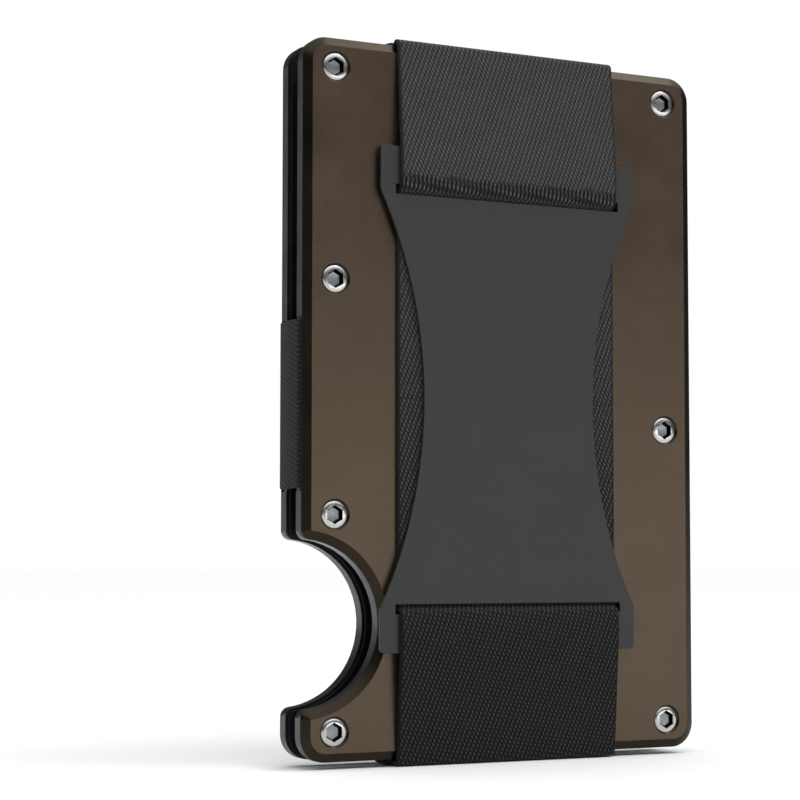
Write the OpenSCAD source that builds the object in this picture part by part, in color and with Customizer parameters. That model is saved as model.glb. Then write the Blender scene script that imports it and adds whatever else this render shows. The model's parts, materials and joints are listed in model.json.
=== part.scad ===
// Minimalist metal wallet with an elastic cash strap, millimetres.
// Two layered metal halves are drawn together by elastic webbing, and cards sit between them.
// The cash strap runs over the front half and threads through a waisted strap plate.
// X runs along the width (thumb notch on -X), Y from front to back, Z up.

/* [Body] */
// Width of both halves
body_w = 54; // [46:0.5:66]
// Height of both halves
body_h = 86; // [76:0.5:104]
// Radius of the four outer corners
corner_r = 3; // [2:0.1:5]
// Space between the halves as stored, the room that two or three cards take
card_gap = 2.1; // [0.5:0.1:9]

/* [Face plate] */
// Thickness of the face plate
plate_t = 0.7; // [0.65:0.05:1.5]
// Width of the edge bevel, seen from the front
bevel_w = 1.05; // [0.4:0.05:1.5]
// Depth of the edge bevel
bevel_d = 0.55; // [0.2:0.05:0.6]

/* [Inner frame and liner] */
// Thickness of the inner frame
frame_t = 1.55; // [1.4:0.05:3]
// Thickness of the liner plate on the card side
liner_t = 0.45; // [0.3:0.05:1]
// Step between the frame's edge and the liner's edge
liner_inset = 0.35; // [0.1:0.05:1]

/* [Thumb notch] */
// Radius of the thumb notch
notch_r = 10; // [8:0.1:12.5]
// Height of the notch's centre above the bottom edge
notch_z = 16.1; // [15.5:0.1:24]
// Distance of the notch's centre outside the left edge
notch_out = 0.1; // [0:0.1:3]
// Radius where the notch meets the left edge
notch_corner_r = 1.2; // [1.1:0.05:1.8]

/* [Elastic webbing] */
// Thickness of the webbing
web_t = 0.45; // [0.3:0.05:0.6]
// Clearance around the webbing
web_fit = 0.04; // [0.02:0.01:0.1]
// Width of the card band, which runs top to bottom
card_band_w = 30; // [20:0.5:34]
// Width of the band round the left side
side_band_w = 20; // [12:0.5:22]
// Clearance at each edge of a band in its channel
channel_fit = 0.3; // [0.1:0.05:0.6]
// Depth of the relief in the frame's left side for the side band
side_relief = 0.1; // [0.1:0.05:0.5]
// How far the side band's middle is below mid-height
side_drop = 0.9; // [0:0.1:4]
// How far the side band bows out over the card gap
side_bow = 0.15; // [0:0.05:0.4]
// Angle at which the card band leaves its channels, above level
dome_angle = 12; // [5:1:25]
// Radius of the card band's bend where it leaves a channel
dome_bend_r = 0.4; // [0.3:0.05:0.8]

/* [Cash strap] */
// Width of the cash strap
strap_w = 30; // [20:0.5:34]
// Length of strap held inside the front half at each end
anchor_l = 14; // [8:0.5:24]
// Radius of the fold over the top and bottom edges
fold_r = 0.6; // [0.6:0.05:1]
// How far the strap bulges in front of each bar
loop_bow = 0.13; // [0:0.01:0.4]

/* [Strap plate] */
// Width of the strap plate at its ends
bar_w = 35; // [30:0.5:44]
// Height of the strap plate
bar_span = 60.8; // [50:0.1:70]
// Width of the strap plate at its waist
waist_w = 23.4; // [16:0.1:30]
// Height of the straight part of each end, above the waist curve
shoulder_h = 5.3; // [4:0.1:8]
// Thickness of the strap plate
bar_t = 0.45; // [0.3:0.05:0.8]
// Height of the bar beyond each slot
bar_h = 4.6; // [3:0.1:6]
// Height of each slot
slot_h = 1.2; // [1.1:0.1:2.5]
// Clearance at each end of a slot, beside the strap
slot_fit = 0.5; // [0.2:0.1:1]
// Radius of the strap plate's corners
bar_corner_r = 0.6; // [0.3:0.1:1]

/* [Screws] */
// Diameter of the screw head
head_d = 3.4; // [2.6:0.1:3.8]
// Depth of the head's top below the face
head_sink = 0.16; // [0.05:0.01:0.2]
// Diameter of the screw shank
shank_d = 1.6; // [1.2:0.1:2]
// Clearance round the shank in the face plate and frame
shank_fit = 0.05; // [0.02:0.01:0.15]
// Clearance between screw and seat, and in the threaded liner hole
thread_fit = 0.02; // [0.01:0.01:0.04]
// Width across the flats of the hexagon socket
socket_af = 1.9; // [0.9:0.1:2]
// Depth of the hexagon socket
socket_depth = 0.45; // [0.3:0.05:0.5]
// Distance of the screw columns from the left and right edges
screw_side = 4.1; // [3:0.1:6]
// Distance of the end screws from the top and bottom edges
screw_end = 3.5; // [3:0.1:6]
// Distance between the two middle screws of the left column, centred on mid-height
left_pair = 28; // [26:0.5:40]
// Distance of the right column's middle screw below mid-height
right_drop = 2.8; // [0:0.1:6]

/* [Hidden] */
$fn = 96;
// Overshoot of a cut beyond the solid it cuts
cut = 1;

half_t = plate_t + frame_t + liner_t;
total_t = 2 * half_t + card_gap;
left_x = -body_w / 2;
right_x = body_w / 2;
mid_z = body_h / 2;

// Centres of the notch and of the two rounded corners beside it, in X and Z
notch_c = [left_x - notch_out, notch_z];
notch_corner_x = left_x + notch_corner_r;
notch_reach = notch_r + notch_corner_r;
// Extra radius of those corners, so that they cross their neighbours instead of only touching them
cross_r = 0.01;
notch_rise = sqrt(notch_reach * notch_reach - (notch_corner_x - notch_c[0]) ^ 2);

// Layers inside a half, measured back from its outer face
frame_y = plate_t;
liner_y = plate_t + frame_t;
outer_web_y = plate_t + web_fit + web_t / 2;
inner_web_y = outer_web_y + web_t + web_fit;
outer_channel_d = web_t + 2 * web_fit;
inner_channel_d = 2 * web_t + 3 * web_fit;

// Side band: centreline beside the frame, and the frame corner that it turns round
relief_x = left_x + side_relief;
side_web_x = relief_x - web_fit - web_t / 2;
side_turn_r = web_fit + web_t / 2;
side_turn_y = plate_t + outer_channel_d;
band_seam_x = -card_band_w / 2 - 0.1;
side_low_z = mid_z - side_drop - side_band_w / 2;

// Strap plate and the strap's layers in front of the face
run_y = -(web_fit + web_t / 2);
bar_back_y = -(web_t + 2 * web_fit);
bar_front_y = bar_back_y - bar_t;
loop_y = bar_front_y - web_fit - web_t / 2;
bar_top_z = mid_z + bar_span / 2;
bar_low_z = bar_top_z - bar_h;
slot_low_z = bar_low_z - slot_h;
slot_w = strap_w + 2 * slot_fit;
strap_proud = -loop_y + web_t / 2 + loop_bow;

// Fold over the top edge and the straight span from it down to the bar
fold_c = [outer_web_y - fold_r, body_h - 0.1];
span_end = [loop_y, bar_top_z];
span_v = span_end - fold_c;
fold_exit = atan2(span_v[1], span_v[0]) + 360 - acos(fold_r / norm(span_v));

// Waist arc through both shoulders and the waist point
shoulder_z = bar_span / 2 - shoulder_h;
waist_sag = (bar_w - waist_w) / 2;
waist_r = (shoulder_z * shoulder_z + waist_sag * waist_sag) / (2 * waist_sag);

// Card band dome over the card gap at the top and bottom
dome_from = inner_web_y;
dome_to = total_t - outer_web_y;
dome_chord = dome_to - dome_from - 2 * dome_bend_r * (1 - sin(dome_angle));
dome_r = dome_chord / 2 / sin(dome_angle);
dome_spring_z = dome_bend_r * cos(dome_angle);
dome_rise = dome_spring_z + dome_r * (1 - cos(dome_angle)) + web_t / 2;

// Screw places, seen from the front
SCREWS = [
    [left_x + screw_side, screw_end],
    [left_x + screw_side, mid_z - left_pair / 2],
    [left_x + screw_side, mid_z + left_pair / 2],
    [left_x + screw_side, body_h - screw_end],
    [right_x - screw_side, screw_end],
    [right_x - screw_side, mid_z - right_drop],
    [right_x - screw_side, body_h - screw_end]
];
seat_r = head_d / 2 + head_sink;
hole_r = shank_d / 2 + shank_fit;

// Points along an arc, angles in degrees
function arc(c, r, from, to, steps) =
    [for (i = [0:steps]) let (a = from + (to - from) * i / steps) c + r * [cos(a), sin(a)]];

// Direction of a path at one of its points
function heading(path, i) =
    let (v = path[min(i + 1, len(path) - 1)] - path[max(i - 1, 0)]) v / norm(v);

// The path moved sideways by d
function beside(path, d) =
    [for (i = [0:len(path) - 1]) let (h = heading(path, i)) path[i] + d * [-h[1], h[0]]];

function backwards(path) = [for (i = [len(path) - 1:-1:0]) path[i]];

// The path turned upside down about mid-height
function upside_down(path) = [for (p = path) [p[0], body_h - p[1]]];

// Outline of a strip of webbing that follows a path
function ribbon(path) = concat(beside(path, web_t / 2), backwards(beside(path, -web_t / 2)));

// Puts the finished object on its origin: centred in depth, lowest point at zero
module placed() {
    translate([0, -(total_t - strap_proud) / 2, dome_rise]) children();
}

// Turns a shape of the front half into its partner in the rear half
module as_rear() {
    translate([0, total_t, 0]) mirror([0, 1, 0]) children();
}

// Outline drawn in X and Z, with thickness along Y
module slab(y, t) {
    translate([0, y + t, 0]) rotate([90, 0, 0]) linear_extrude(t) children();
}

// Profile drawn in Y and Z, with width along X, centred
module across(w) {
    translate([-w / 2, 0, 0]) rotate([90, 0, 90]) linear_extrude(w) children();
}

// Round bar or cone along Y
module rod(x, y, z, length, r_front, r_back) {
    translate([x, y, z]) rotate([-90, 0, 0]) cylinder(h = length, r1 = r_front, r2 = r_back);
}

// Outline of a half, smaller by inset all round
module half_outline(inset) {
    r = corner_r - inset;
    w = body_w - 2 * inset;
    h = body_h - 2 * inset;
    difference() {
        translate([0, mid_z]) union() {
            square([w - 2 * r, h], center = true);
            square([w, h - 2 * r], center = true);
            for (sx = [-1, 1], sz = [-1, 1]) translate([sx * (w / 2 - r), sz * (h / 2 - r)]) circle(r);
        }
        translate(notch_c) circle(notch_r + inset);
        for (sz = [-1, 1]) difference() {
            notch_corner_area(sz);
            translate([notch_corner_x, notch_z + sz * notch_rise]) circle(notch_corner_r + cross_r - inset);
        }
    }
}

// Area between the left edge, the notch and the centre of a rounded corner
module notch_corner_area(sz) {
    corner_z = notch_z + sz * notch_rise;
    polygon([[notch_corner_x, corner_z], [left_x - cut, corner_z], notch_c]);
}

// Countersunk seat and clearance hole of every screw
module screw_cuts() {
    for (s = SCREWS) {
        rod(s[0], 0, s[1], seat_r - hole_r, seat_r, hole_r);
        rod(s[0], -cut, s[1], cut, seat_r, seat_r);
        rod(s[0], 0, s[1], liner_y, hole_r, hole_r);
    }
}

// Round the notch: bevelled cut, taken out of a plate
module notch_cut() {
    rod(notch_c[0], -cut, notch_z, cut, notch_r + bevel_w, notch_r + bevel_w);
    rod(notch_c[0], 0, notch_z, bevel_d, notch_r + bevel_w, notch_r);
    rod(notch_c[0], 0, notch_z, plate_t + cut, notch_r, notch_r);
    for (sz = [-1, 1]) difference() {
        slab(-cut, plate_t + 2 * cut) notch_corner_area(sz);
        bevelled_corner(notch_corner_x, notch_z + sz * notch_rise, notch_corner_r + cross_r);
    }
}

// Bevelled round corner: a cone for the bevel on a straight cylinder
module bevelled_corner(x, z, r) {
    rod(x, 0, z, bevel_d, r - bevel_w, r);
    rod(x, bevel_d, z, plate_t - bevel_d, r, r);
}

// Face plate: bevelled all round its outer edge and round the notch
module face_plate_shape() {
    corner_x = right_x - corner_r;
    difference() {
        union() {
            translate([0, 0, corner_r]) linear_extrude(body_h - 2 * corner_r) polygon([
                [left_x, plate_t], [left_x, bevel_d], [left_x + bevel_w, 0],
                [right_x - bevel_w, 0], [right_x, bevel_d], [right_x, plate_t]
            ]);
            across(2 * corner_x) polygon([
                [plate_t, 0], [bevel_d, 0], [0, bevel_w],
                [0, body_h - bevel_w], [bevel_d, body_h], [plate_t, body_h]
            ]);
            for (x = [-corner_x, corner_x], z = [corner_r, body_h - corner_r])
                bevelled_corner(x, z, corner_r);
        }
        notch_cut();
        screw_cuts();
    }
}

// Inner frame: channels for the webbing are sunk in the side that the face plate covers
module inner_frame_shape(channel_d) {
    channel_w = card_band_w + 2 * channel_fit;
    side_h = side_band_w + 2 * channel_fit;
    difference() {
        slab(frame_y, frame_t) half_outline(0);
        translate([-channel_w / 2, frame_y - cut, -cut])
            cube([channel_w, channel_d + cut, body_h + 2 * cut]);
        translate([left_x - cut, frame_y - cut, side_low_z - channel_fit])
            cube([cut - left_x, outer_channel_d + cut, side_h]);
        translate([left_x - cut, frame_y - cut, side_low_z - channel_fit])
            cube([cut + side_relief, frame_t + 2 * cut, side_h]);
        screw_cuts();
    }
}

// Liner plate: closes the half on the card side and takes the screw threads
module liner_plate_shape() {
    difference() {
        slab(liner_y, liner_t) half_outline(liner_inset);
        for (s = SCREWS)
            rod(s[0], liner_y - cut, s[1], liner_t + 2 * cut, shank_d / 2 + thread_fit, shank_d / 2 + thread_fit);
    }
}

// Seven countersunk screws with hexagon sockets
module screws_shape() {
    head_r = head_d / 2 - thread_fit;
    for (s = SCREWS) difference() {
        union() {
            rod(s[0], head_sink, s[1], head_r - shank_d / 2, head_r, shank_d / 2);
            rod(s[0], head_sink, s[1], half_t - head_sink, shank_d / 2, shank_d / 2);
        }
        translate([s[0], head_sink + socket_depth, s[1]]) rotate([90, 30, 0])
            cylinder(h = socket_depth + cut, d = socket_af / cos(30), $fn = 6);
    }
}

// Straight stretch of the card band inside a half
module card_band_run_shape(y) {
    translate([-card_band_w / 2, y - web_t / 2, 0]) cube([card_band_w, web_t, body_h]);
}

// Stretch of the side band inside a half, ending where it is sewn to the card band
module side_band_tab_shape() {
    translate([relief_x, outer_web_y - web_t / 2, side_low_z])
        cube([band_seam_x - relief_x, web_t, side_band_w]);
}

// Dome of the card band over the top edge, from the front half to the rear half
module card_band_bridge_shape() {
    crown = [(dome_from + dome_to) / 2, dome_spring_z - dome_r * cos(dome_angle)];
    path = concat(
        [[dome_from, -cut]],
        arc([dome_from + dome_bend_r, 0], dome_bend_r, 180, 90 + dome_angle, 8),
        arc(crown, dome_r, 88 + dome_angle, 92 - dome_angle, 10),
        arc([dome_to - dome_bend_r, 0], dome_bend_r, 90 - dome_angle, 0, 8),
        [[dome_to, -cut]]
    );
    intersection() {
        across(card_band_w) polygon(ribbon(path));
        translate([-card_band_w, 0, 0]) cube([2 * card_band_w, total_t, dome_rise + cut]);
    }
}

// Side band round the left edges of both halves
module side_band_bridge_shape() {
    far_y = total_t - side_turn_y;
    bow_steps = 12;
    path = concat(
        [[relief_x + cut, outer_web_y]],
        arc([relief_x, side_turn_y], side_turn_r, 270, 180, 8),
        [for (i = [1:bow_steps - 1])
            [side_web_x - side_bow * sin(180 * i / bow_steps),
             side_turn_y + (far_y - side_turn_y) * i / bow_steps]],
        arc([relief_x, far_y], side_turn_r, 180, 90, 8),
        [[relief_x + cut, total_t - outer_web_y]]
    );
    intersection() {
        translate([0, 0, side_low_z]) linear_extrude(side_band_w) polygon(ribbon(path));
        translate([relief_x - body_w, 0, 0]) cube([body_w, total_t, body_h]);
    }
}

// Direction of the free span, from the fold down to the bar
fold_end = fold_c + fold_r * [cos(fold_exit), sin(fold_exit)];
span_dir = (span_end - fold_end) / norm(span_end - fold_end);
// Length of the straight lead at each end of the free span, so that neighbours meet squarely
lead = 0.2;

// Upper end of the cash strap: held inside the front half, then folded over its top edge
anchor_path = concat(
    [[outer_web_y, body_h - anchor_l]],
    arc(fold_c, fold_r, 0, fold_exit, 20),
    [fold_end + lead * span_dir]
);

// Free span from the fold to the bar of the strap plate
span_path = [fold_end + lead * span_dir, span_end];

// Round the front of the upper bar, through its slot and down behind the strap plate
slot_turn = 53;
bow_r = (bar_h * bar_h / 4 + loop_bow * loop_bow) / (2 * loop_bow);
bow_half = asin(bar_h / 2 / bow_r);
wrap_r = web_fit + web_t / 2;
wrap_exit = [bar_front_y, bar_low_z] + wrap_r * [-cos(slot_turn), -sin(slot_turn)];
back_turn_r = 0.4;
back_turn_y = run_y - back_turn_r * (1 - cos(slot_turn));
back_turn_z = wrap_exit[1] - (back_turn_y - wrap_exit[0]) / tan(slot_turn) - back_turn_r * sin(slot_turn);
bow_step = bow_half / 6;
loop_path = concat(
    [span_end, span_end + lead * span_dir],
    arc([loop_y - loop_bow + bow_r, bar_top_z - bar_h / 2], bow_r, 180 - bow_half + bow_step, 180 + bow_half, 11),
    arc([bar_front_y, bar_low_z], wrap_r, 188, 180 + slot_turn, 6),
    arc([run_y - back_turn_r, back_turn_z], back_turn_r, slot_turn, 0, 6),
    [[run_y, back_turn_z - 1]]
);

// Waisted plate with a slot inside each end bar
module strap_plate_shape() {
    slab(bar_back_y - bar_t, bar_t) translate([0, mid_z]) difference() {
        square([bar_w, bar_span], center = true);
        for (sx = [-1, 1])
            translate([sx * (waist_w / 2 + waist_r), 0]) circle(waist_r, $fn = 360);
        for (sz = [-1, 1])
            translate([0, sz * (bar_span / 2 - bar_h - slot_h / 2)]) square([slot_w, slot_h], center = true);
        for (sx = [-1, 1], sz = [-1, 1])
            translate([sx * (bar_w / 2 - bar_corner_r), sz * (bar_span / 2 - bar_corner_r)]) difference() {
                translate([sx * bar_corner_r / 2, sz * bar_corner_r / 2])
                    square([bar_corner_r, bar_corner_r], center = true);
                circle(bar_corner_r, $fn = 32);
            }
    }
}

module front_face_plate() { color("#5a4d40") face_plate_shape(); }
module front_inner_frame() { color("#2b2b2c") inner_frame_shape(inner_channel_d); }
module front_liner_plate() { color("#1b1b1c") liner_plate_shape(); }
module front_screws() { color("silver") screws_shape(); }
module front_card_band_run() { color("#2c2c2c") card_band_run_shape(inner_web_y); }
module front_side_band_tab() { color("#2c2c2c") side_band_tab_shape(); }
module strap_top_anchor() { color("#303030") across(strap_w) polygon(ribbon(anchor_path)); }
module strap_bottom_anchor() { color("#303030") across(strap_w) polygon(ribbon(upside_down(anchor_path))); }

module rear_face_plate() { color("#5a4d40") as_rear() face_plate_shape(); }
module rear_inner_frame() { color("#2b2b2c") as_rear() inner_frame_shape(outer_channel_d); }
module rear_liner_plate() { color("#1b1b1c") as_rear() liner_plate_shape(); }
module rear_screws() { color("silver") as_rear() screws_shape(); }
module rear_card_band_run() { color("#2c2c2c") as_rear() card_band_run_shape(outer_web_y); }
module rear_side_band_tab() { color("#2c2c2c") as_rear() side_band_tab_shape(); }

module top_card_band_bridge() { color("#2c2c2c") translate([0, 0, body_h]) card_band_bridge_shape(); }
module bottom_card_band_bridge() { color("#2c2c2c") mirror([0, 0, 1]) card_band_bridge_shape(); }
module side_band_bridge() { color("#2c2c2c") side_band_bridge_shape(); }

module strap_plate() { color("#3c3c3c") strap_plate_shape(); }
module strap_centre_run() {
    color("#303030") across(strap_w)
        polygon(ribbon(concat(loop_path, backwards(upside_down(loop_path)))));
}
module strap_upper_span() { color("#303030") across(strap_w) polygon(ribbon(span_path)); }
module strap_lower_span() { color("#303030") across(strap_w) polygon(ribbon(upside_down(span_path))); }

placed() front_face_plate();
placed() front_inner_frame();
placed() front_liner_plate();
placed() front_screws();
placed() front_card_band_run();
placed() front_side_band_tab();
placed() strap_top_anchor();
placed() strap_bottom_anchor();
placed() rear_face_plate();
placed() rear_inner_frame();
placed() rear_liner_plate();
placed() rear_screws();
placed() rear_card_band_run();
placed() rear_side_band_tab();
placed() top_card_band_bridge();
placed() bottom_card_band_bridge();
placed() side_band_bridge();
placed() strap_plate();
placed() strap_centre_run();
placed() strap_upper_span();
placed() strap_lower_span();
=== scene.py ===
# %% [markdown]
# # A minimalist metal wallet
#
# The wallet is two layered metal halves that elastic webbing draws together, so that cards
# are gripped between them. A second webbing, the cash strap, runs over the front half and
# threads through a waisted plate, and folded notes go under it.
#
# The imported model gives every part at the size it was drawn, in metres. The plates and
# frames are taken from it and given softly broken edges, and the screws are turned anew. The
# webbing is laid anew where it shows, because woven elastic bends round its bars and edges
# and has a weave that follows the bend.

# %% Load the frame
import json
import math

import bmesh
import bpy
from mathutils import Matrix, Vector

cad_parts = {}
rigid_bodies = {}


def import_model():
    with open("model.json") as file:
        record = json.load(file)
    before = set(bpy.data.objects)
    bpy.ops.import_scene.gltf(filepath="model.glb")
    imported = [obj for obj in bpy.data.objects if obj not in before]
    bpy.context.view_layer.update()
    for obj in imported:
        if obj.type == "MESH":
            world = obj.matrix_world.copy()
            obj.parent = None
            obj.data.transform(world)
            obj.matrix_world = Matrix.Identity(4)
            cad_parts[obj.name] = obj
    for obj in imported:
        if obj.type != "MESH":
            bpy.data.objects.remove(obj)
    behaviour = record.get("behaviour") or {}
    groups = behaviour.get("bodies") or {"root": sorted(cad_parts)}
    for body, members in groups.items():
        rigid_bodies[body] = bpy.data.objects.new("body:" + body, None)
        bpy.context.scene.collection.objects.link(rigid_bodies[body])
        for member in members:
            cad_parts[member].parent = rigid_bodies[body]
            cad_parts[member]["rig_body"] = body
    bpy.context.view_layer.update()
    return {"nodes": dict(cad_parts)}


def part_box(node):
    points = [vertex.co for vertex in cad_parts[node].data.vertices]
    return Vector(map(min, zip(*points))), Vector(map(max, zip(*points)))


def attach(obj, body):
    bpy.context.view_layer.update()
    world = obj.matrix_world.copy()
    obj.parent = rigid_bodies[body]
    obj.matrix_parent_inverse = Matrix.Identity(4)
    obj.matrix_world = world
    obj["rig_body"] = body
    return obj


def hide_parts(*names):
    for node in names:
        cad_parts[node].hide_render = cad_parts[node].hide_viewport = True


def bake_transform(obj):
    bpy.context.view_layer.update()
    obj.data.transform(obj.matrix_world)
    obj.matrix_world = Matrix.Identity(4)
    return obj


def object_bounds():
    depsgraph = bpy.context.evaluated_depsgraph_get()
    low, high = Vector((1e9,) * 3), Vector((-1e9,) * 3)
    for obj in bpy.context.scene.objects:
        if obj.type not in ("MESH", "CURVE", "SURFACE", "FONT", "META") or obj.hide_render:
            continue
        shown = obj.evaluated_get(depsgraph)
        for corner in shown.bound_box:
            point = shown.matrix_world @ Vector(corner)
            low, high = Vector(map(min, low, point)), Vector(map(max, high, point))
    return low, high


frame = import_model()

# %% [markdown]
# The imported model's boxes say where things are. The face plate's box gives the front face,
# the bottom edge and the height, and every other place is measured from those in
# millimetres, as a maker would with a calliper. One function turns such a place into a
# point of the scene.

# %% Datum of the front half
MM = 0.001
face_low, face_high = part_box("front_face_plate")
rear_low, rear_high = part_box("rear_face_plate")
BODY_W = (face_high.x - face_low.x) / MM
BODY_H = (face_high.z - face_low.z) / MM
BODY_T = (rear_high.y - face_low.y) / MM


def place(x, y, z):
    """Point at x from the middle, y behind the front face and z above the bottom edge, in mm."""
    return Vector((x * MM, face_low.y + y * MM, face_low.z + z * MM))


print("halves: %.1f wide, %.1f high, %.1f mm deep together" % (BODY_W, BODY_H, BODY_T))

# %% [markdown]
# ## Camera
#
# The camera stands low and to the left of the wallet and looks up a little, so that the
# left edge with its layers shows beside the face. A long lens keeps the verticals calm.

# %% Camera
CAMERA_YAW, CAMERA_PITCH = math.radians(26.0), math.radians(3.61)
camera_data = bpy.data.cameras.new("camera")
camera_data.sensor_width = 36.0
camera_data.lens = 92.835
camera_data.shift_x, camera_data.shift_y = -0.0375, 0.04
camera_data.clip_start, camera_data.clip_end = 0.01, 20.0
camera = bpy.data.objects.new("camera", camera_data)
camera.location = place(-119.4, -223.3, 23.4)
camera.rotation_euler = (math.pi / 2 + CAMERA_PITCH, 0, -CAMERA_YAW)
bpy.context.scene.collection.objects.link(camera)
bpy.context.scene.camera = camera
print("camera lens: %.1f mm" % camera_data.lens)

# %% [markdown]
# ## Helpers for materials
#
# Colours are written as the hex values that a screen shows, and shaders want them linear,
# so one function converts them. A second adds a shader node, sets its sockets or its
# properties, and links it. A third gives coordinates in millimetres, so that every
# pattern's scale is a real size. The last two mix a pair of tones by a pattern, and turn a
# distance into a sine wave.

# %% Colour and node helpers
def linear(hex_code, alpha=1.0):
    """A screen colour such as '#5a4d40' as linear red, green, blue and alpha."""
    parts = [int(hex_code[i:i + 2], 16) / 255 for i in (1, 3, 5)]
    return tuple(c / 12.92 if c <= 0.04045 else ((c + 0.055) / 1.055) ** 2.4 for c in parts) + (alpha,)


def add(tree, kind, settings=None, links=None):
    """Adds a shader node, sets its sockets or properties, and links sockets to sources."""
    made = tree.nodes.new("ShaderNode" + kind)
    for key, value in (settings or {}).items():
        if isinstance(key, int) or key in made.inputs:
            made.inputs[key].default_value = value
        else:
            setattr(made, key, value)
    for key, source in (links or {}).items():
        tree.links.new(source, made.inputs[key])
    return made


def start_material(name, surface):
    """An empty material with a Principled surface; returns it, its tree and the surface node."""
    material = bpy.data.materials.new(name)
    material.use_nodes = True
    tree = material.node_tree
    tree.nodes.clear()
    shader = add(tree, "BsdfPrincipled", surface)
    add(tree, "OutputMaterial", links={"Surface": shader.outputs["BSDF"]})
    return material, tree, shader


def millimetres(tree):
    """Object coordinates, counted in millimetres."""
    here = add(tree, "TexCoord")
    scaled = add(tree, "Mapping", {"Scale": (1000, 1000, 1000)}, {"Vector": here.outputs["Object"]})
    return scaled.outputs["Vector"]


def two_tones(tree, deep, pale, pattern):
    """A colour that goes from deep to pale as the pattern goes from 0 to 1."""
    mix = add(tree, "Mix", {"data_type": "RGBA", 6: linear(deep), 7: linear(pale)}, {0: pattern})
    return mix.outputs[2]


def sine(tree, distance, period):
    """The sine of a distance, with its period in the same unit."""
    angle = add(tree, "Math", {"operation": "MULTIPLY", 1: 2 * math.pi / period}, {0: distance})
    return add(tree, "Math", {"operation": "SINE"}, {0: angle.outputs["Value"]}).outputs["Value"]


# %% [markdown]
# ## Anodised aluminium, bead-blasted bronze
#
# The face plates are aluminium sheet, blasted with fine glass beads and then anodised in a
# warm bronze-grey. Blasting leaves a close matt grain of about a tenth of a millimetre,
# and the dye takes a little unevenly over some eight millimetres. The bevel is cut after
# blasting, so it is smoother, and it mirrors its surroundings darkly.

# %% Bronze materials
def blasted_anodise(name, deep, pale, roughness, grain):
    material, tree, shader = start_material(name, {"Metallic": 0.92, "Roughness": roughness})
    at = millimetres(tree)
    cloud = add(tree, "TexNoise", {"Scale": 0.12, "Detail": 3.0, "Roughness": 0.55}, {"Vector": at})
    grit = add(tree, "TexNoise", {"Scale": 7.0, "Detail": 2.0, "Roughness": 0.6}, {"Vector": at})
    tone = two_tones(tree, deep, pale, cloud.outputs["Fac"])
    speck = add(tree, "MapRange", {"From Min": 0.3, "From Max": 0.7, "To Min": 0.9, "To Max": 1.1},
                {"Value": grit.outputs["Fac"]})
    colour = add(tree, "VectorMath", {"operation": "SCALE"}, {0: tone, 3: speck.outputs["Result"]})
    gloss = add(tree, "MapRange", {"From Min": 0.3, "From Max": 0.7, "To Min": roughness - 0.05,
                                   "To Max": roughness + 0.05}, {"Value": cloud.outputs["Fac"]})
    bump = add(tree, "Bump", {"Strength": grain, "Distance": 0.00002}, {"Height": grit.outputs["Fac"]})
    tree.links.new(colour.outputs["Vector"], shader.inputs["Base Color"])
    tree.links.new(gloss.outputs["Result"], shader.inputs["Roughness"])
    tree.links.new(bump.outputs["Normal"], shader.inputs["Normal"])
    return material


bronze_face = blasted_anodise("bronze_anodised_face", "#4e4338", "#5a4d41", 0.36, 0.35)
bronze_bevel = blasted_anodise("bronze_anodised_bevel", "#27231a", "#2f2a20", 0.28, 0.08)
print("bronze: face and bevel")

# %% [markdown]
# ## Anodised aluminium, satin black
#
# The inner frames are milled from plate and anodised black. Milled edges keep faint lines
# along the cutter's path, a fifth of a millimetre apart, and the satin surface turns a
# light beside it into a soft grey band. The liners are thinner and duller, and their black
# is darker than the frame's: painted shade of their inset edges.

# %% Black materials
def black_anodise(name, deep, pale, roughness, lines):
    material, tree, shader = start_material(name, {"Metallic": 0.85, "Roughness": roughness})
    at = millimetres(tree)
    cutter = add(tree, "TexWave", {"bands_direction": "Y", "Scale": 1.6, "Distortion": 0.4, "Detail": 1.0},
                 {"Vector": at})
    cloud = add(tree, "TexNoise", {"Scale": 0.5, "Detail": 4.0}, {"Vector": at})
    tone = two_tones(tree, deep, pale, cloud.outputs["Fac"])
    gloss = add(tree, "MapRange", {"From Min": 0.35, "From Max": 0.65, "To Min": roughness - 0.06,
                                   "To Max": roughness + 0.06}, {"Value": cloud.outputs["Fac"]})
    bump = add(tree, "Bump", {"Strength": lines, "Distance": 0.00001}, {"Height": cutter.outputs["Fac"]})
    tree.links.new(tone, shader.inputs["Base Color"])
    tree.links.new(gloss.outputs["Result"], shader.inputs["Roughness"])
    tree.links.new(bump.outputs["Normal"], shader.inputs["Normal"])
    return material


black_frame = black_anodise("black_anodised_frame", "#343436", "#3c3c3e", 0.34, 0.12)
# The liner's darker black is painted shade of its inset edge.
dark_liner_painted_shade = black_anodise("liner_sheet_painted_shade", "#1c1c1d", "#242426", 0.5, 0.05)
print("black: frame and liner")

# %% [markdown]
# ## Powder coat, dark grey
#
# The strap plate is sprayed with a fine powder coat and baked. The coat flows out into a
# very slight orange peel, about half a millimetre from crest to crest, and stays matt.

# %% Powder coat
def powder_coat(name, deep, pale):
    material, tree, shader = start_material(name, {"Metallic": 0.0, "Roughness": 0.5, "IOR": 1.5})
    at = millimetres(tree)
    peel = add(tree, "TexNoise", {"Scale": 2.2, "Detail": 2.0}, {"Vector": at})
    cloud = add(tree, "TexNoise", {"Scale": 0.15, "Detail": 3.0}, {"Vector": at})
    tone = two_tones(tree, deep, pale, cloud.outputs["Fac"])
    bump = add(tree, "Bump", {"Strength": 0.3, "Distance": 0.00002}, {"Height": peel.outputs["Fac"]})
    tree.links.new(tone, shader.inputs["Base Color"])
    tree.links.new(bump.outputs["Normal"], shader.inputs["Normal"])
    return material


strap_plate_coat = powder_coat("powder_coated_steel", "#1e1e1e", "#232323")
print("powder coat ready")
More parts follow.
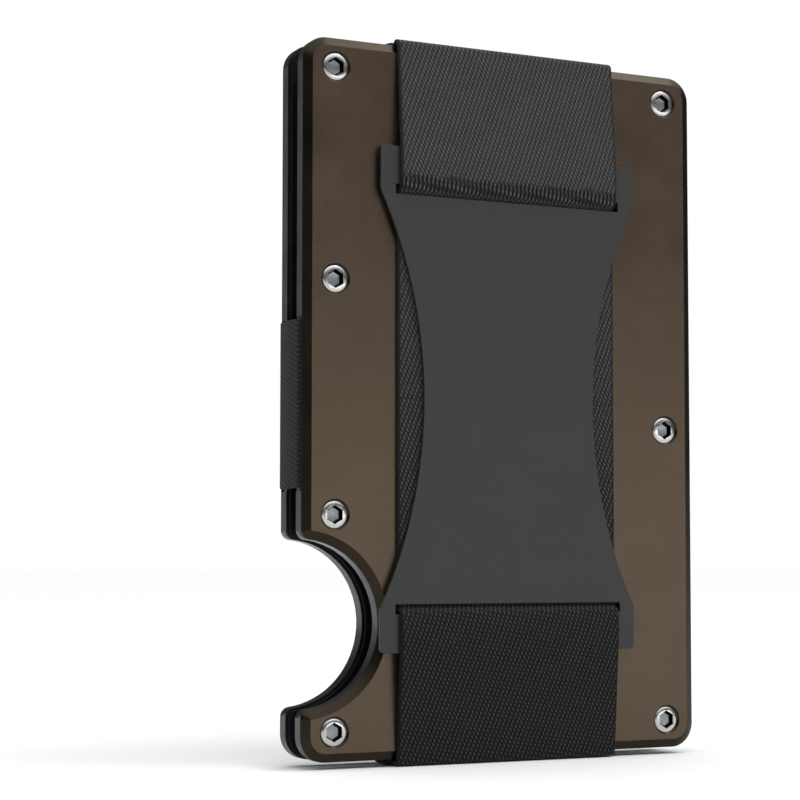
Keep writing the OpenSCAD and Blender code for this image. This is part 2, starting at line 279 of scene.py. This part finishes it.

# %% [markdown]
# ## Stainless steel, turned and polished
#
# The screws are turned and polished. The rings that turning leaves are too fine to draw, so
# the steel only has a slightly uneven roughness. The socket is punched, so its floor is
# duller; its floor is also painted a darker grey and its walls near black, as painted shade
# inside the deep socket.

# %% Screw steel
def screw_steel(name, colour, roughness):
    material, tree, shader = start_material(
        name, {"Metallic": 1.0, "Roughness": roughness, "Base Color": linear(colour)})
    wear = add(tree, "TexNoise", {"Scale": 3.0, "Detail": 5.0}, {"Vector": millimetres(tree)})
    gloss = add(tree, "MapRange", {"From Min": 0.3, "From Max": 0.7, "To Min": roughness - 0.05,
                                   "To Max": roughness + 0.08}, {"Value": wear.outputs["Fac"]})
    tree.links.new(gloss.outputs["Result"], shader.inputs["Roughness"])
    return material


polished_steel = screw_steel("polished_stainless_steel", "#b9b9b7", 0.2)
# The socket floor's darker grey and the near-black walls are painted shade of the deep socket; the floor's
# higher roughness is its own.
hex_floor_dull_painted_shade = screw_steel("punched_floor_dull_with_painted_shade", "#8a8c8c", 0.35)
hex_wall_painted_shade = screw_steel("painted_shade_hex_wall", "#151516", 0.35)
print("screw steel ready")

# %% [markdown]
# ## Elastic webbing, black
#
# The webbing is woven from black polyester over stretched rubber cores. Each float of yarn
# shows as a small leaning oval over darker ground. Two waves, one across the band and one
# along it, multiply into those ovals, and every other column sits half a step lower. The
# weave follows the band round its bends, so it reads the band's own map, whose units are
# millimetres across and along. The woven edges are darker. Where the cash strap turns
# through the upper slot its face opens into short dark ribs. From just below that slot to
# the lower one the strap is painted darker little by little, its ground more than its
# floats, and beyond the lower slot it stays at that tone: painted shade for the run behind
# the plate and for the lower length, which faces down.

# %% Webbing material
YARN_PITCH, FLOAT_PITCH = 0.56, 1.0
YARN_SLANT, FLOAT_SLANT, WANDER = 0.2, 0.15, 0.16
# The second tone is the factor of the painted shade on the cash strap below the upper slot.
GROUND_TONE, PAINTED_SHADE_TONE = 0.21, 0.13


def webbing(name, mapped, half_width, deep, pale, ribs_at=None, painted_shade_below=None):
    """Woven elastic; ribs_at gives the span of the ribs and the last argument the place where the painted
    shade is full, both places along the band in millimetres.
    """
    material, tree, shader = start_material(
        name, {"Metallic": 0.0, "Roughness": 0.85, "IOR": 1.45, "Specular IOR Level": 0.25,
               "Sheen Weight": 0.05, "Sheen Roughness": 0.5})
    if mapped:
        at = add(tree, "UVMap", {"uv_map": "weave"}).outputs["UV"]
    else:
        flat = add(tree, "SeparateXYZ", links={"Vector": millimetres(tree)})
        turned = add(tree, "CombineXYZ", links={"X": flat.outputs["X"], "Y": flat.outputs["Z"]})
        at = turned.outputs["Vector"]
    parts = add(tree, "SeparateXYZ", links={"Vector": at})
    wander = add(tree, "TexNoise", {"Scale": 0.9, "Detail": 2.0}, {"Vector": at})
    off = add(tree, "VectorMath", {"operation": "SCALE", 3: WANDER}, {0: wander.outputs["Color"]})
    bent = add(tree, "VectorMath", {"operation": "ADD"}, {0: at, 1: off.outputs["Vector"]})
    spot = add(tree, "SeparateXYZ", links={"Vector": bent.outputs["Vector"]})
    yarn_way = add(tree, "Math", {"operation": "MULTIPLY_ADD", 1: YARN_SLANT},
                   {0: spot.outputs["Y"], 2: spot.outputs["X"]})
    float_way = add(tree, "Math", {"operation": "MULTIPLY_ADD", 1: FLOAT_SLANT},
                    {0: spot.outputs["X"], 2: spot.outputs["Y"]})
    floats = add(tree, "Math", {"operation": "MULTIPLY"},
                 {0: sine(tree, float_way.outputs["Value"], FLOAT_PITCH),
                  1: sine(tree, yarn_way.outputs["Value"], YARN_PITCH)})
    low = add(tree, "MapRange", {"From Min": 0.75, "From Max": -0.25},
              {"Value": floats.outputs["Value"]}).outputs["Result"]
    across = add(tree, "Math", {"operation": "ABSOLUTE"}, {0: parts.outputs["X"]})
    edge = add(tree, "MapRange", {"From Min": half_width - 0.45, "From Max": half_width - 0.15},
               {"Value": across.outputs["Value"]})
    shade = add(tree, "TexNoise", {"Scale": 0.22, "Detail": 3.0}, {"Vector": at})
    lit = two_tones(tree, deep, pale, shade.outputs["Fac"])
    ground = add(tree, "MapRange", {"To Min": 1.0, "To Max": GROUND_TONE}, {"Value": low})
    woven = add(tree, "VectorMath", {"operation": "SCALE"}, {0: lit, 3: ground.outputs["Result"]})
    sides = add(tree, "Mix", {"data_type": "RGBA", 7: linear("#191919")},
                {0: edge.outputs["Result"], 6: woven.outputs["Vector"]})
    colour, height = sides.outputs[2], low
    # Painted shade: from behind the plate down to the lower slot the strap darkens step by step, its ground
    # more than its floats, and stays dark beyond.
    if painted_shade_below:
        below = add(tree, "MapRange", {"From Min": -painted_shade_below - 4.0, "From Max": painted_shade_below,
                                       "To Min": 1.0, "To Max": PAINTED_SHADE_TONE}, {"Value": parts.outputs["Y"]})
        power = add(tree, "Math", {"operation": "ADD", 1: 0.3}, {0: low})
        fade = add(tree, "Math", {"operation": "POWER"},
                   {0: below.outputs["Result"], 1: power.outputs["Value"]})
        painted_shaded = add(tree, "VectorMath", {"operation": "SCALE"}, {0: colour, 3: fade.outputs["Value"]})
        colour = painted_shaded.outputs["Vector"]
    if ribs_at:
        first, last = ribs_at
        ragged = add(tree, "MapRange", {"To Min": -0.5, "To Max": 0.5}, {"Value": wander.outputs["Fac"]})
        start = add(tree, "Math", {"operation": "ADD"}, {0: parts.outputs["Y"], 1: ragged.outputs["Result"]})
        zone = add(tree, "MapRange", {"From Min": last, "From Max": last - 0.6},
                   {"Value": start.outputs["Value"]})
        over = add(tree, "MapRange", {"From Min": first, "From Max": first + 0.5},
                   {"Value": parts.outputs["Y"]})
        both = add(tree, "Math", {"operation": "MULTIPLY"},
                   {0: zone.outputs["Result"], 1: over.outputs["Result"]})
        gap = add(tree, "MapRange", {"From Min": -0.3, "From Max": 0.2},
                  {"Value": sine(tree, parts.outputs["X"], YARN_PITCH)})
        dark = add(tree, "Math", {"operation": "MULTIPLY"},
                   {0: gap.outputs["Result"], 1: both.outputs["Value"]})
        ribbed = add(tree, "Mix", {"data_type": "RGBA", 7: linear("#030303")},
                     {0: dark.outputs["Value"], 6: colour})
        colour = ribbed.outputs[2]
        grooves = add(tree, "Math", {"operation": "MAXIMUM"}, {0: low, 1: dark.outputs["Value"]})
        height = grooves.outputs["Value"]
    bump = add(tree, "Bump", {"Strength": 0.7, "Distance": 0.00008, "invert": True}, {"Height": height})
    tree.links.new(colour, shader.inputs["Base Color"])
    tree.links.new(bump.outputs["Normal"], shader.inputs["Normal"])
    return material


hidden_webbing = webbing("elastic_webbing_inside", False, 15.0, "#343434", "#3c3c3c")
band_webbing = webbing("elastic_webbing_card_band", True, 15.0, "#343434", "#3c3c3c")
side_webbing = webbing("elastic_webbing_side_band", True, 10.0, "#232323", "#2a2a2a")
print("webbing ready")

# %% [markdown]
# ## Metal parts
#
# A machined edge is never truly sharp: it is broken by a few hundredths of a millimetre,
# and that narrow round is what catches the light. Each metal part is a copy of the packed
# one, with its loose triangles merged into clean faces, and a Bevel modifier breaks its
# edges. Faces that lean away from the flat front and back take the bevel's material.

# %% Copies with broken edges
SAME_POINT = 0.000001


def broken_edges(name, node, width, face_material, edge_material=None):
    mesh = bmesh.new()
    mesh.from_mesh(frame["nodes"][node].data)
    bmesh.ops.remove_doubles(mesh, verts=mesh.verts, dist=SAME_POINT)
    bmesh.ops.dissolve_limit(mesh, angle_limit=math.radians(0.5), verts=mesh.verts, edges=mesh.edges)
    for face in mesh.faces:
        face.smooth = True
        face.material_index = 0 if abs(face.normal.y) > 0.99 or edge_material is None else 1
    data = bpy.data.meshes.new(name)
    mesh.to_mesh(data)
    mesh.free()
    data.materials.append(face_material)
    if edge_material:
        data.materials.append(edge_material)
    piece = bpy.data.objects.new(name, data)
    bpy.context.scene.collection.objects.link(piece)
    round_off = piece.modifiers.new("broken_edges", "BEVEL")
    round_off.width = width * MM
    round_off.segments = 2
    round_off.limit_method = "ANGLE"
    round_off.angle_limit = math.radians(24)
    calm = piece.modifiers.new("flat_faces_stay_flat", "WEIGHTED_NORMAL")
    calm.mode, calm.weight, calm.keep_sharp = "FACE_AREA", 100, True
    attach(piece, frame["nodes"][node]["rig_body"])
    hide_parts(node)
    print(name, len(data.polygons), "faces")
    return piece


for half in ("front", "rear"):
    plate = broken_edges(half + "_plate", half + "_face_plate", 0.05, bronze_face, bronze_bevel)
    inner = broken_edges(half + "_frame", half + "_inner_frame", 0.06, black_frame)
    liner = broken_edges(half + "_liner", half + "_liner_plate", 0.05, dark_liner_painted_shade)

bow_plate = broken_edges("waisted_strap_plate", "strap_plate", 0.07, strap_plate_coat)

# %% [markdown]
# ## Screws
#
# A countersunk screw is a turned shape, so its outline is drawn once, from the socket's
# floor out over the slightly domed head and down to the shank, and spun round its axis.
# The rings of the socket are then drawn in to a hexagon.

# %% One screw
def socket_scale(angle):
    """How far a hexagon with flats at 1 reaches at an angle."""
    return 1 / math.cos((angle + math.pi / 6) % (math.pi / 3) - math.pi / 6)


def turn_screw(head_r, shank_r, length, socket_r, depth):
    """A screw along -Z in millimetres, the top of its head about level with zero."""
    mesh = bmesh.new()
    outline = [
        (0.0, -depth - 0.1), (socket_r * 0.78, -depth),
        (socket_r, -0.02), (socket_r + 0.05, 0.06), (socket_r + 0.25, 0.055),
        (head_r - 0.28, 0.015), (head_r - 0.12, -0.03), (head_r - 0.03, -0.09), (head_r, -0.14),
        (head_r - 0.02, -0.18), (shank_r + 0.02, -head_r + shank_r - 0.12),
        (shank_r, -head_r + shank_r - 0.16),
        (shank_r, -length + 0.15), (shank_r - 0.15, -length), (0.0, -length),
    ]
    dots = [mesh.verts.new((r, 0, z)) for r, z in outline]
    lines = [mesh.edges.new(pair) for pair in zip(dots, dots[1:])]
    bmesh.ops.spin(mesh, geom=dots + lines, cent=(0, 0, 0), axis=(0, 0, 1), angle=2 * math.pi,
                   steps=48, use_merge=True, use_duplicate=False)
    bmesh.ops.remove_doubles(mesh, verts=mesh.verts, dist=0.0005)
    for dot in mesh.verts:
        radius = math.hypot(dot.co.x, dot.co.y)
        if socket_r * 0.7 < radius < socket_r + 0.1 and dot.co.z > -depth - 0.01:
            reach = socket_scale(math.atan2(dot.co.y, dot.co.x))
            dot.co.x *= reach
            dot.co.y *= reach
    bmesh.ops.recalc_face_normals(mesh, faces=mesh.faces)
    for face in mesh.faces:
        middle = face.calc_center_median()
        inside = math.hypot(middle.x, middle.y) < socket_r * 1.12 and -depth - 0.2 < middle.z < -0.03
        face.smooth = True
        # Socket floors take the second material and socket walls the third, both carrying painted shade.
        face.material_index = 0 if not inside else 1 if abs(face.normal.z) > 0.7 else 2
    for edge in mesh.edges:
        edge.smooth = len(edge.link_faces) == 2 and edge.calc_face_angle(0) < math.radians(32)
    return mesh


one_screw = turn_screw(head_r=1.68, shank_r=0.8, length=2.45, socket_r=0.95, depth=0.6)
print("one screw:", len(one_screw.faces), "faces")

# %% [markdown]
# Seven such screws clamp each half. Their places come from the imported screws: each of the
# separate solids in that node has a middle, and a screw is set on it.

# %% Seven screws in each half
def solid_centres(node):
    """Middle of each separate solid of a node, in the XZ plane."""
    mesh = bmesh.new()
    mesh.from_mesh(frame["nodes"][node].data)
    bmesh.ops.remove_doubles(mesh, verts=mesh.verts, dist=SAME_POINT)
    left, found = set(mesh.verts), []
    while left:
        group, edge_of = set(), [left.pop()]
        while edge_of:
            vert = edge_of.pop()
            group.add(vert)
            edge_of += [n for e in vert.link_edges for n in [e.other_vert(vert)] if n in left]
            left -= set(edge_of)
        xs, zs = [v.co.x for v in group], [v.co.z for v in group]
        found.append(((min(xs) + max(xs)) / 2, (min(zs) + max(zs)) / 2))
    mesh.free()
    return sorted(found)


def set_screws(name, node, face_y, outward):
    """Copies of the screw in one mesh, with their heads level with face_y and facing outward."""
    mesh = bmesh.new()
    turned = bpy.data.meshes.new(name + "_turned")
    one_screw.to_mesh(turned)
    places = solid_centres(node)
    quarter_turn = Matrix.Rotation(outward * math.pi / 2, 3, "X")
    for x, z in places:
        first = len(mesh.verts)
        mesh.from_mesh(turned)
        mesh.verts.ensure_lookup_table()
        new = mesh.verts[first:]
        bmesh.ops.rotate(mesh, verts=new, cent=(0, 0, 0), matrix=quarter_turn)
        bmesh.ops.scale(mesh, verts=new, vec=(MM, MM, MM))
        bmesh.ops.translate(mesh, verts=new, vec=(x, face_y, z))
    data = bpy.data.meshes.new(name)
    mesh.to_mesh(data)
    mesh.free()
    bpy.data.meshes.remove(turned)
    data.materials.append(polished_steel)
    data.materials.append(hex_floor_dull_painted_shade)
    data.materials.append(hex_wall_painted_shade)
    piece = bpy.data.objects.new(name, data)
    bpy.context.scene.collection.objects.link(piece)
    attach(piece, frame["nodes"][node]["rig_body"])
    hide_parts(node)
    print(name, len(places), "screws")


HEAD_SINK = (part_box("front_screws")[0].y - face_low.y) / MM
set_screws("front_plate_screws", "front_screws", face_low.y + HEAD_SINK * MM, 1)
set_screws("rear_plate_screws", "rear_screws", rear_high.y - HEAD_SINK * MM, -1)

# %% [markdown]
# ## Laying the webbing
#
# A length of webbing is laid as it is threaded: one row of points from edge to edge is
# extruded along the route, a step at a time. The map for the weave is written from the
# distance along the route, so yarn keeps its size round every bend. A Solidify modifier
# gives the 0.45 mm thickness evenly on both sides, and a Bevel rounds the edges.

# %% Webbing helper
WEB_T = 0.45
FIT = 0.04
TUCK = 0.5
STRAP_STEP, BAND_STEP = 0.8, 0.4


def turn(centre, radius, start, end, steps):
    """Points along an arc in the YZ plane, angles in degrees from +Y towards +Z."""
    angles = [math.radians(start + (end - start) * i / steps) for i in range(steps + 1)]
    return [(centre[0] + radius * math.cos(a), centre[1] + radius * math.sin(a)) for a in angles]


def evenly(points, step):
    """The same route, with points no further apart than step."""
    route = [points[0]]
    for a, b in zip(points, points[1:]):
        pieces = max(1, math.ceil(math.dist(a, b) / step))
        route += [tuple(p + (q - p) * i / pieces for p, q in zip(a, b)) for i in range(1, pieces + 1)]
    return route


def lay_webbing(name, route, across, columns, start_mm, direction, material):
    """A strip along route, a list of points in metres; across is the vector from edge to edge."""
    mesh = bmesh.new()
    rightward = across.normalized() * (-1 if min(across) < 0 else 1)
    side, along = mesh.verts.layers.float.new("side"), mesh.verts.layers.float.new("along")
    row = [mesh.verts.new(route[0] + across * (i / columns - 0.5)) for i in range(columns + 1)]
    edges = [mesh.edges.new(pair) for pair in zip(row, row[1:])]
    run = start_mm
    for vert in row:
        vert[side], vert[along] = (vert.co - route[0]).dot(rightward) / MM, run
    for a, b in zip(route, route[1:]):
        made = bmesh.ops.extrude_edge_only(mesh, edges=edges)["geom"]
        edges = [item for item in made if isinstance(item, bmesh.types.BMEdge)]
        verts = [item for item in made if isinstance(item, bmesh.types.BMVert)]
        bmesh.ops.translate(mesh, verts=verts, vec=b - a)
        run += direction * (b - a).length / MM
        for vert in verts:
            vert[side], vert[along] = (vert.co - b).dot(rightward) / MM, run
    weave = mesh.loops.layers.uv.new("weave")
    for face in mesh.faces:
        face.smooth = True
        for corner in face.loops:
            corner[weave].uv = (corner.vert[side], corner.vert[along])
    data = bpy.data.meshes.new(name)
    mesh.to_mesh(data)
    mesh.free()
    data.materials.append(material)
    piece = bpy.data.objects.new(name, data)
    bpy.context.scene.collection.objects.link(piece)
    thick = piece.modifiers.new("webbing_thickness", "SOLIDIFY")
    thick.thickness, thick.offset = WEB_T * MM, 0.0
    edge = piece.modifiers.new("woven_edge", "BEVEL")
    edge.width, edge.segments = 0.12 * MM, 2
    edge.limit_method, edge.angle_limit = "ANGLE", math.radians(60)
    print(name, "%.1f mm long" % abs(run - start_mm))
    return piece


# %% [markdown]
# ## Cash strap
#
# Each end of the strap comes up inside the front half, folds over its edge and runs down
# to the strap plate. It bulges over the bar, turns in through the slot and runs behind the
# plate, where both halves of the route meet at mid-height. The strap is laid as an upper
# and a lower length. The distances repeat the imported parts' own.

# %% Strap route
strap_low, strap_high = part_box("strap_plate")
run_low, run_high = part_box("strap_centre_run")
STRAP_W = (run_high.x - run_low.x) / MM
BAR_T = (strap_high.y - strap_low.y) / MM
BAR_TOP = (strap_high.z - face_low.z) / MM
PLATE_T = (face_high.y - face_low.y) / MM
BAR_H, LOOP_BOW, FOLD_R, FOLD_DROP = 4.6, 0.13, 0.6, 0.1
run_y = -(FIT + WEB_T / 2)
bar_back = -(WEB_T + 2 * FIT)
bar_front = bar_back - BAR_T
loop_y = bar_front - FIT - WEB_T / 2
anchor_y = PLATE_T + FIT + WEB_T / 2
fold = (anchor_y - FOLD_R, BODY_H - FOLD_DROP)
to_bar = (loop_y - fold[0], BAR_TOP - fold[1])
fold_exit = math.degrees(math.atan2(to_bar[1], to_bar[0])) + 360 - math.degrees(
    math.acos(FOLD_R / math.hypot(*to_bar)))
bow_r = (BAR_H ** 2 / 4 + LOOP_BOW ** 2) / (2 * LOOP_BOW)
bow_half = math.degrees(math.asin(BAR_H / 2 / bow_r))
wrap_r, slot_turn, back_r = FIT + WEB_T / 2, 53, 0.4
wrap_exit = (bar_front - wrap_r * math.cos(math.radians(slot_turn)),
             BAR_TOP - BAR_H - wrap_r * math.sin(math.radians(slot_turn)))
back_y = run_y - back_r * (1 - math.cos(math.radians(slot_turn)))
back_z = (wrap_exit[1] - (back_y - wrap_exit[0]) / math.tan(math.radians(slot_turn))
          - back_r * math.sin(math.radians(slot_turn)))
upper_route = (
    [(anchor_y, fold[1] - 0.4)]
    + turn(fold, FOLD_R, 0, fold_exit, 20)
    + turn((loop_y - LOOP_BOW + bow_r, BAR_TOP - BAR_H / 2), bow_r, 180 - bow_half, 180 + bow_half, 12)
    + turn((bar_front, BAR_TOP - BAR_H), wrap_r, 188, 180 + slot_turn, 6)
    + turn((run_y - back_r, back_z), back_r, slot_turn, 0, 6)
    + [(run_y, BODY_H / 2)]
)
upper_route = evenly(upper_route, STRAP_STEP)
strap_length = sum(math.dist(a, b) for a, b in zip(upper_route, upper_route[1:]))
print("strap route: %d points, %.1f mm from fold to middle" % (len(upper_route), strap_length))

# %% Strap lengths
wrap_from_middle = sum(math.dist(a, b) for a, b in zip(upper_route, upper_route[1:])
                       if b[1] < BAR_TOP - BAR_H + 1.2)
# The cash strap's webbing carries painted shade from below the upper slot to its lower end.
strap_webbing = webbing("elastic_webbing_cash_strap", True, STRAP_W / 2, "#484848", "#545454",
                        ribs_at=(wrap_from_middle - 2.6, wrap_from_middle - 0.1),
                        painted_shade_below=-wrap_from_middle)
edge_to_edge = Vector((STRAP_W * MM, 0, 0))
upper_points = [place(0, y, z) for y, z in upper_route]
lower_points = [place(0, y, BODY_H - z) for y, z in upper_route]
upper_strap = lay_webbing("cash_strap_upper", upper_points, edge_to_edge, 60,
                          strap_length, -1, strap_webbing)
lower_strap = lay_webbing("cash_strap_lower", lower_points, -edge_to_edge, 60,
                          -strap_length, 1, strap_webbing)
BELOW_FOLD, ABOVE_BAR = 0.6, 0.4
for strap, top, bar in ((upper_strap, BODY_H - BELOW_FOLD, BAR_TOP + ABOVE_BAR),
                        (lower_strap, BELOW_FOLD, BODY_H - BAR_TOP - ABOVE_BAR)):
    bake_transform(strap)
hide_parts("strap_top_anchor", "strap_upper_span", "strap_centre_run")
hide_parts("strap_bottom_anchor", "strap_lower_span", "strap_centre_run")

# %% Strap tails inside the front half
TAIL_DEPTH = 14
for name, flip in (("cash_strap_top_tail", False), ("cash_strap_bottom_tail", True)):
    heights = (BODY_H - TAIL_DEPTH, BODY_H - TUCK)
    tail = [place(0, anchor_y, BODY_H - z if flip else z) for z in heights]
    piece = lay_webbing(name, tail, edge_to_edge, 30, 0, 1, band_webbing)
    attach(piece, "front_half")
    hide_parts("strap_bottom_anchor" if flip else "strap_top_anchor")

# %% [markdown]
# ## Card band and side band
#
# The card band passes over the top and bottom of the card gap in a low dome, and the side
# band turns round the left edge. Both stretch between the halves as cards go in.

# %% Domes of the card band
band_low, band_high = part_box("top_card_band_bridge")
BAND_W = (band_high.x - band_low.x) / MM
DOME_ANGLE, DOME_BEND = 12, 0.4
dome_from = PLATE_T + 2 * (FIT + WEB_T) - WEB_T / 2
dome_to = BODY_T - anchor_y
sink = math.radians(DOME_ANGLE)
dome_r = (dome_to - dome_from - 2 * DOME_BEND * (1 - math.sin(sink))) / 2 / math.sin(sink)
crown = ((dome_from + dome_to) / 2, DOME_BEND * math.cos(sink) - dome_r * math.cos(sink))
dome_route = evenly(
    [(dome_from, -TUCK)]
    + turn((dome_from + DOME_BEND, 0), DOME_BEND, 180, 90 + DOME_ANGLE, 6)
    + turn(crown, dome_r, 90 + DOME_ANGLE, 90 - DOME_ANGLE, 12)[1:-1]
    + turn((dome_to - DOME_BEND, 0), DOME_BEND, 90 - DOME_ANGLE, 0, 6)
    + [(dome_to, -TUCK)], BAND_STEP)
band_edges = Vector((BAND_W * MM, 0, 0))
for name, node, flip in (("card_band_top", "top_card_band_bridge", False),
                         ("card_band_bottom", "bottom_card_band_bridge", True)):
    route = [place(0, y, -z if flip else BODY_H + z) for y, z in dome_route]
    dome = lay_webbing(name, route, -band_edges if flip else band_edges, 40, 0, 1, band_webbing)
    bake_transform(dome)
    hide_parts(node)

# %% Side band
side_low, side_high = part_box("side_band_bridge")
SIDE_W = (side_high.z - side_low.z) / MM
relief_x = side_high.x / MM
turn_r = FIT + WEB_T / 2
turn_y = PLATE_T + WEB_T + 2 * FIT
far_y = BODY_T - turn_y
SIDE_BOW, BOW_STEPS = 0.15, 12
bowed = [(relief_x - turn_r - SIDE_BOW * math.sin(math.pi * i / BOW_STEPS),
          turn_y + (far_y - turn_y) * i / BOW_STEPS) for i in range(1, BOW_STEPS)]
side_route = evenly(
    [(relief_x + TUCK, anchor_y)]
    + turn((relief_x, turn_y), turn_r, 270, 180, 6) + bowed + turn((relief_x, far_y), turn_r, 180, 90, 6)
    + [(relief_x + TUCK, BODY_T - anchor_y)], BAND_STEP)
side_mid = ((side_low.z + side_high.z) / 2 - face_low.z) / MM
side_points = [place(x, y, side_mid) for x, y in side_route]
side_band = lay_webbing("side_band", side_points, Vector((0, 0, SIDE_W * MM)), 40, 0, 1, side_webbing)
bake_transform(side_band)
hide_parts("side_band_bridge")

# %% Webbing that stays inside the halves
for node in ("front_card_band_run", "rear_card_band_run", "front_side_band_tab", "rear_side_band_tab"):
    data = frame["nodes"][node].data
    data.materials.clear()
    data.materials.append(hidden_webbing)
    print(node, "shows its packed shape")

# %% [markdown]
# ## Floor and light
#
# A pale paper floor and a pale surrounding keep the setting plain. Metal shows what it
# mirrors, so the surroundings are bright overhead and dark near the horizon, and three soft
# lights are placed for the edges: one above the front for the top bevel, one behind the left
# edge for its grey band, and a low strip in front for the lower third of the face.

# %% Floor
def floor_paper():
    material, tree, shader = start_material("pale_paper", {"Roughness": 0.9, "Specular IOR Level": 0.2})
    fibre = add(tree, "TexNoise", {"Scale": 0.4, "Detail": 4.0}, {"Vector": millimetres(tree)})
    tone = two_tones(tree, "#f2f2f1", "#f6f6f5", fibre.outputs["Fac"])
    tree.links.new(tone, shader.inputs["Base Color"])
    return material


sheet = bmesh.new()
bmesh.ops.create_grid(sheet, x_segments=1, y_segments=1, size=6.0)
bmesh.ops.translate(sheet, verts=sheet.verts, vec=(0, 0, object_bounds()[0].z))
floor_data = bpy.data.meshes.new("floor")
sheet.to_mesh(floor_data)
sheet.free()
floor_data.materials.append(floor_paper())
floor = bpy.data.objects.new("floor", floor_data)
bpy.context.scene.collection.objects.link(floor)

# %% World
world = bpy.data.worlds.new("studio")
bpy.context.scene.world = world
world.use_nodes = True
air = world.node_tree
air.nodes.clear()
BRIGHTEST = Vector((0.1, -0.2, 0.97)).normalized()
way = add(air, "TexCoord").outputs["Generated"]
lean = add(air, "VectorMath", {"operation": "DOT_PRODUCT", 1: BRIGHTEST}, {0: way})
glow = add(air, "MapRange", {"From Min": 0.45, "From Max": 0.8, "To Min": 0.1, "To Max": 1.9,
                             "interpolation_type": "SMOOTHSTEP"}, {"Value": lean.outputs["Value"]})
seen = add(air, "Background", {"Color": linear("#ffffff"), "Strength": 1.0})
cast = add(air, "Background", {"Color": linear("#fbfcff")}, {"Strength": glow.outputs["Result"]})
ray = add(air, "LightPath")
both = add(air, "MixShader", links={0: ray.outputs["Is Camera Ray"], 1: cast.outputs[0], 2: seen.outputs[0]})
add(air, "OutputWorld", links={"Surface": both.outputs[0]})
bpy.context.scene.view_settings.view_transform = "Standard"


# %% Lights
def softbox(name, spot, aim, width, height, power):
    lamp = bpy.data.lights.new(name, "AREA")
    lamp.shape, lamp.size, lamp.size_y, lamp.energy = "RECTANGLE", width, height, power
    stand = bpy.data.objects.new(name, lamp)
    stand.location = spot
    stand.rotation_euler = (Vector(aim) - Vector(spot)).to_track_quat("-Z", "Y").to_euler()
    bpy.context.scene.collection.objects.link(stand)
    print(name, "%.1f W" % power)


middle = (0, 0, 0.044)
softbox("overhead_front", (0.385, -0.29, 0.76), middle, 0.34, 0.26, 1.5)
softbox("left_behind", (-0.55, 0.55, 0.12), middle, 0.35, 0.4, 0.9)
softbox("low_front", (0.36, -0.74, 0.05), middle, 0.5, 0.08, 0.42)
